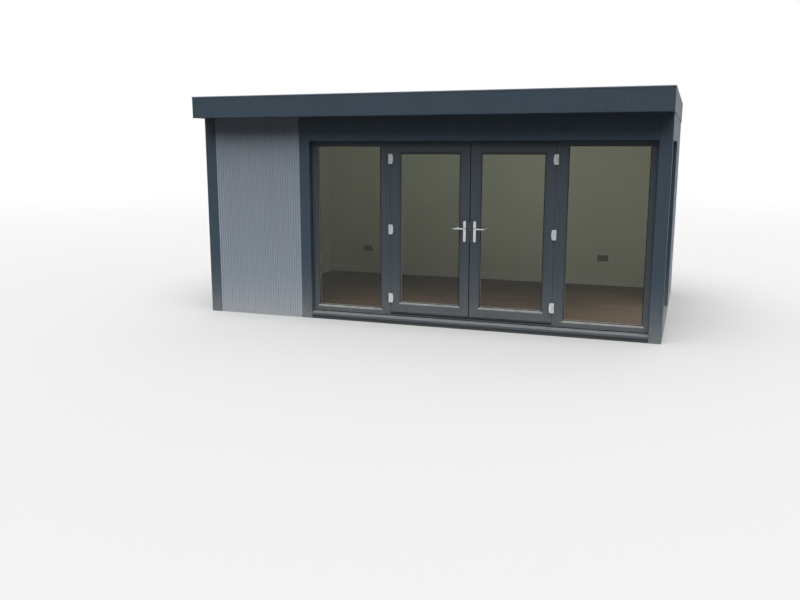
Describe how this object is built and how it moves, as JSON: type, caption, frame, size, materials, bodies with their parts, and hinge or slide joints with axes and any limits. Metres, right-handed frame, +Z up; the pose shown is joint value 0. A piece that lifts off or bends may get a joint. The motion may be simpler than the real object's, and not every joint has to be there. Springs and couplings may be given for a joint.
{
  "type": "garden office pod",
  "caption": "Flat-roofed garden office pod: ribbed light grey cladding, dark trims and fascia, a glazed front with hinged French doors and a full-height side window.",
  "frame": {"origin": "on the ground, under the middle of the roof outline", "axes": "+X to the right along the glazed front, +Y towards the back, +Z up; the front faces -Y"},
  "size_m": [5.2, 3.5, 2.5],
  "materials": {
    "treated_timber": "sawn, treated",
    "laminate": "dark plank laminate, satin",
    "dark_trim": "anthracite, satin, fine grain",
    "wall_panel": "painted board, matt",
    "cladding": "ribbed composite board, matt",
    "membrane": "smooth rubber sheet, matt",
    "edge_metal": "folded metal, satin",
    "white_board": "white paint, satin",
    "socket_plastic": "moulded, satin",
    "frame_upvc": "foiled profile, fine wood grain, satin",
    "glazing": "clear sealed unit",
    "hinge_white": "powder coated, satin",
    "satin_metal": "satin"
  },
  "bodies": {
    "pod": {"floor_bearers": "treated_timber", "floor_deck": "treated_timber", "laminate_floor": "laminate", "plinth_boards": "dark_trim", "front_wall": "wall_panel", "corner_post": "wall_panel", "left_wall": "wall_panel", "rear_wall": "wall_panel", "right_wall": "wall_panel", "wall_headers": "wall_panel", "front_cladding": "cladding", "left_cladding": "cladding", "rear_cladding": "cladding", "right_cladding": "cladding", "corner_trims": "dark_trim", "reveal_trims": "dark_trim", "header_panels": "dark_trim", "roof_panel": "wall_panel", "roof_membrane": "membrane", "front_fascia": "dark_trim", "side_fascias": "dark_trim", "rear_fascia": "dark_trim", "soffit": "dark_trim", "roof_edge_trim": "edge_metal", "ceiling": "wall_panel", "skirting": "white_board", "wall_sockets": "socket_plastic", "sills": "frame_upvc", "left_light_frame": "frame_upvc", "right_light_frame": "frame_upvc", "side_light_frame": "frame_upvc", "fixed_glass": "glazing", "door_frame_rails": "frame_upvc", "door_frame_jambs": "frame_upvc", "frame_hinges": "hinge_white"},
    "left_door": {"left_door_sash": "frame_upvc", "left_door_glass": "glazing", "left_door_hinges": "hinge_white", "left_handle_plates": "satin_metal"},
    "right_door": {"right_door_sash": "frame_upvc", "right_door_glass": "glazing", "right_door_hinges": "hinge_white", "right_handle_plates": "satin_metal"},
    "left_door_lever": {"left_lever": "satin_metal"},
    "right_door_lever": {"right_lever": "satin_metal"}
  },
  "joints": [
    {"name": "left_door_swing", "type": "hinge", "parent": "pod", "child": "left_door", "pos_m": [-0.317, -1.464, 1.0495], "axis": [0, 0, -1], "range_deg": [0, 90]},
    {"name": "right_door_swing", "type": "hinge", "parent": "pod", "child": "right_door", "pos_m": [1.482, -1.464, 1.0495], "axis": [0, 0, 1], "range_deg": [0, 90]},
    {"name": "left_lever_turn", "type": "hinge", "parent": "left_door", "child": "left_door_lever", "pos_m": [0.527, -1.455, 1.0865], "axis": [0, -1, 0], "range_deg": [-40, 40], "stiffness_Nm_per_rad": 1.5},
    {"name": "right_lever_turn", "type": "hinge", "parent": "right_door", "child": "right_door_lever", "pos_m": [0.638, -1.455, 1.0865], "axis": [0, 1, 0], "range_deg": [-40, 40], "stiffness_Nm_per_rad": 1.5}
  ]
}
